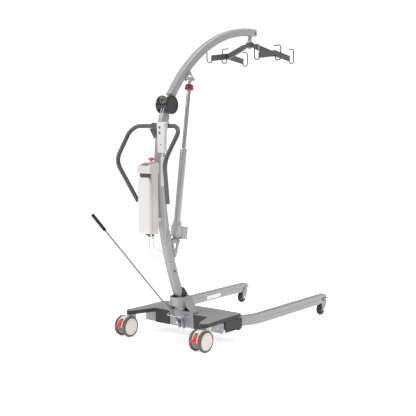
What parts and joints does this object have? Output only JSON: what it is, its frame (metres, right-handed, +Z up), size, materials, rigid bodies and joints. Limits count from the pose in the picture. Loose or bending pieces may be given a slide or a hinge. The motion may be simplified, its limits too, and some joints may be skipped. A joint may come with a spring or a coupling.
{
  "type": "patient lift hoist",
  "caption": "Mobile patient hoist: curved mast and boom, electric actuator, swivelling spreader with sling hooks, push handle, control box and spreading legs on castors.",
  "frame": {"origin": "middle of the footprint, on the floor", "axes": "+X forward along the legs, +Y to the left, +Z up"},
  "size_m": [1.604, 0.71, 1.8873],
  "materials": {
    "frame_paint": "satin silver powder coat",
    "cover_plastic": "fine-textured grey moulding",
    "hub_plastic": "charcoal moulding, satin",
    "black_plastic": "black, matt",
    "bracket_steel": "zinc plated",
    "spreader_paint": "dark grey powder coat",
    "handle_paint": "dark grey textured paint",
    "actuator_shell": "light grey moulding",
    "actuator_alloy": "satin anodised",
    "rod_chrome": "bright chrome",
    "eye_steel": "turned steel",
    "collar_red": "dark red moulding",
    "box_plastic": "off-white moulding",
    "display_black": "gloss dark window",
    "stop_red": "gloss red",
    "handset_grey": "light grey moulding",
    "button_dark": "soft rubber key",
    "plug_dark": "dark moulding",
    "cable_cream": "cream sheath",
    "cable_dark": "dark grey sheath",
    "spring_zinc": "blue zinc",
    "grip_rubber": "black rubber",
    "castor_hood": "cream moulding",
    "castor_disc": "cream moulding",
    "tyre_grey": "grey-green rubber tread",
    "pedal_red": "orange-red moulding",
    "fork_taupe": "taupe moulding",
    "wheel_dark": "dark moulding",
    "tyre_dark": "dark rubber"
  },
  "bodies": {
    "root": {"chassis_frame": "frame_paint", "base_cover": "cover_plastic", "mast_socket": "frame_paint", "mast_wedge": "black_plastic", "leg_pivot_pins": "bracket_steel", "mast": "frame_paint", "hub_axle": "bracket_steel", "hub_cover_left": "hub_plastic", "hub_cover_right": "hub_plastic", "actuator_bracket": "frame_paint", "push_handle": "handle_paint", "handle_bracket": "handle_paint", "control_box": "box_plastic", "display_window": "display_black", "cable_plugs": "plug_dark", "actuator_cable": "cable_cream", "handset_cable": "cable_dark", "lever_pivot": "bracket_steel", "return_spring": "spring_zinc"},
    "boom": {"boom": "frame_paint", "boom_bracket": "bracket_steel", "boom_end_cap": "hub_plastic"},
    "actuator": {"motor_housing": "actuator_shell", "actuator_tube": "actuator_alloy"},
    "rod": {"actuator_rod": "rod_chrome", "rod_end_eye": "eye_steel"},
    "collar": {"release_collar": "collar_red"},
    "hanger": {"hanger_head": "bracket_steel"},
    "spreader": {"hanger_hub": "spreader_paint", "spreader_arms": "spreader_paint", "crossbar_left": "spreader_paint", "crossbar_right": "spreader_paint", "sling_hooks": "spreader_paint"},
    "estop": {"estop_button": "stop_red"},
    "battery": {"battery_pack": "box_plastic"},
    "handset": {"handset_shell": "handset_grey"},
    "up_key": {"up_button": "button_dark"},
    "down_key": {"down_button": "button_dark"},
    "lever": {"lever_rod": "rod_chrome", "lever_grip": "grip_rubber", "lever_spring": "spring_zinc"},
    "bail": {"foot_bail": "bracket_steel"},
    "leg_left": {"leg_left": "frame_paint", "leg_cover_left": "cover_plastic"},
    "rear_castor_left": {"rear_housing_left": "castor_hood"},
    "rear_wheels_left": {"rear_discs_left": "castor_disc", "rear_tyres_left": "tyre_grey"},
    "pedal_left": {"brake_pedal_left": "pedal_red"},
    "front_castor_left": {"front_fork_left": "fork_taupe"},
    "front_wheel_left": {"front_wheel_left": "wheel_dark", "front_tyre_left": "tyre_dark"},
    "leg_right": {"leg_right": "frame_paint", "leg_cover_right": "cover_plastic"},
    "rear_castor_right": {"rear_housing_right": "castor_hood"},
    "rear_wheels_right": {"rear_discs_right": "castor_disc", "rear_tyres_right": "tyre_grey"},
    "pedal_right": {"brake_pedal_right": "pedal_red"},
    "front_castor_right": {"front_fork_right": "fork_taupe"},
    "front_wheel_right": {"front_wheel_right": "wheel_dark", "front_tyre_right": "tyre_dark"}
  },
  "joints": [
    {"name": "boom_lift", "type": "hinge", "parent": "root", "child": "boom", "pos_m": [-0.44504, 0, 1.381], "axis": [0, 1, 0], "range_deg": [0, 62]},
    {"name": "actuator_tilt", "type": "hinge", "parent": "root", "child": "actuator", "pos_m": [-0.374, 0, 0.592], "axis": [0, 1, 0], "range_deg": [-0.1, 5.3]},
    {"name": "rod_slide", "type": "slide", "parent": "actuator", "child": "rod", "axis": [0.141, 0, 0.99], "range_m": [-0.254, 0.0005]},
    {"name": "collar_pull", "type": "slide", "parent": "rod", "child": "collar", "axis": [0.141, 0, 0.99], "range_m": [0, 0.008], "stiffness_N_per_m": 400, "springref_m": -0.004},
    {"name": "hanger_plumb", "type": "hinge", "parent": "boom", "child": "hanger", "pos_m": [0.367, 0, 1.823], "axis": [0, 1, 0], "range_deg": [-62.5, 0.1]},
    {"name": "hanger_swivel", "type": "hinge", "parent": "hanger", "child": "spreader", "pos_m": [0.367, 0, 1.79], "axis": [0, 0, 1], "continuous": true},
    {"name": "estop_press", "type": "slide", "parent": "root", "child": "estop", "axis": [0, 0, -1], "range_m": [0, 0.004], "stiffness_N_per_m": 600, "springref_m": -0.003},
    {"name": "battery_release", "type": "slide", "parent": "root", "child": "battery", "axis": [-1, 0, 0], "range_m": [0, 0.05]},
    {"name": "handset_lift", "type": "slide", "parent": "root", "child": "handset", "axis": [0, 0, 1], "range_m": [0, 0.03]},
    {"name": "up_press", "type": "slide", "parent": "handset", "child": "up_key", "axis": [1, 0, 0], "range_m": [0, 0.0015], "stiffness_N_per_m": 500, "springref_m": -0.001},
    {"name": "down_press", "type": "slide", "parent": "handset", "child": "down_key", "axis": [1, 0, 0], "range_m": [0, 0.0015], "stiffness_N_per_m": 500, "springref_m": -0.001},
    {"name": "leg_left_spread", "type": "hinge", "parent": "root", "child": "leg_left", "pos_m": [-0.202, 0.246, 0.107], "axis": [0, 0, 1], "range_deg": [0, 14]},
    {"name": "leg_right_spread", "type": "hinge", "parent": "root", "child": "leg_right", "pos_m": [-0.202, -0.246, 0.107], "axis": [0, 0, 1], "range_deg": [-14.1, 0.1]},
    {"name": "lever_swing", "type": "hinge", "parent": "root", "child": "lever", "pos_m": [-0.332, 0, 0.1], "axis": [1, 0, 0], "range_deg": [-0.1, 41.8]},
    {"name": "bail_press", "type": "hinge", "parent": "root", "child": "bail", "pos_m": [-0.326, 0, 0.152], "axis": [0, -1, 0], "range_deg": [0, 18], "stiffness_Nm_per_rad": 1.2, "springref_deg": -6.88},
    {"name": "rear_castor_swivel_left", "type": "hinge", "parent": "root", "child": "rear_castor_left", "pos_m": [-0.448, 0.289, 0.125], "axis": [0, 0, 1], "continuous": true},
    {"name": "rear_wheel_spin_left", "type": "hinge", "parent": "rear_castor_left", "child": "rear_wheels_left", "pos_m": [-0.495, 0.289, 0.0625], "axis": [0, 1, 0], "continuous": true},
    {"name": "brake_press_left", "type": "hinge", "parent": "rear_castor_left", "child": "pedal_left", "pos_m": [-0.535, 0.289, 0.085], "axis": [0, -1, 0], "range_deg": [0, 12]},
    {"name": "front_castor_swivel_left", "type": "hinge", "parent": "leg_left", "child": "front_castor_left", "pos_m": [0.77, 0.328, 0.112], "axis": [0, 0, 1], "continuous": true},
    {"name": "front_wheel_spin_left", "type": "hinge", "parent": "front_castor_left", "child": "front_wheel_left", "pos_m": [0.74, 0.328, 0.038], "axis": [0, 1, 0], "continuous": true},
    {"name": "rear_castor_swivel_right", "type": "hinge", "parent": "root", "child": "rear_castor_right", "pos_m": [-0.448, -0.289, 0.125], "axis": [0, 0, 1], "continuous": true},
    {"name": "rear_wheel_spin_right", "type": "hinge", "parent": "rear_castor_right", "child": "rear_wheels_right", "pos_m": [-0.495, -0.289, 0.0625], "axis": [0, 1, 0], "continuous": true},
    {"name": "brake_press_right", "type": "hinge", "parent": "rear_castor_right", "child": "pedal_right", "pos_m": [-0.535, -0.289, 0.085], "axis": [0, -1, 0], "range_deg": [0, 12]},
    {"name": "front_castor_swivel_right", "type": "hinge", "parent": "leg_right", "child": "front_castor_right", "pos_m": [0.77, -0.328, 0.112], "axis": [0, 0, 1], "continuous": true},
    {"name": "front_wheel_spin_right", "type": "hinge", "parent": "front_castor_right", "child": "front_wheel_right", "pos_m": [0.74, -0.328, 0.038], "axis": [0, 1, 0], "continuous": true}
  ],
  "couplings": [
    {"joint": "actuator_tilt", "follows": "boom_lift", "ratio": 0.0824},
    {"joint": "rod_slide", "follows": "boom_lift", "m_per_rad": -0.2335},
    {"joint": "hanger_plumb", "follows": "boom_lift", "ratio": -1},
    {"joint": "leg_right_spread", "follows": "leg_left_spread", "ratio": -1},
    {"joint": "lever_swing", "follows": "leg_left_spread", "ratio": 2.97}
  ]
}
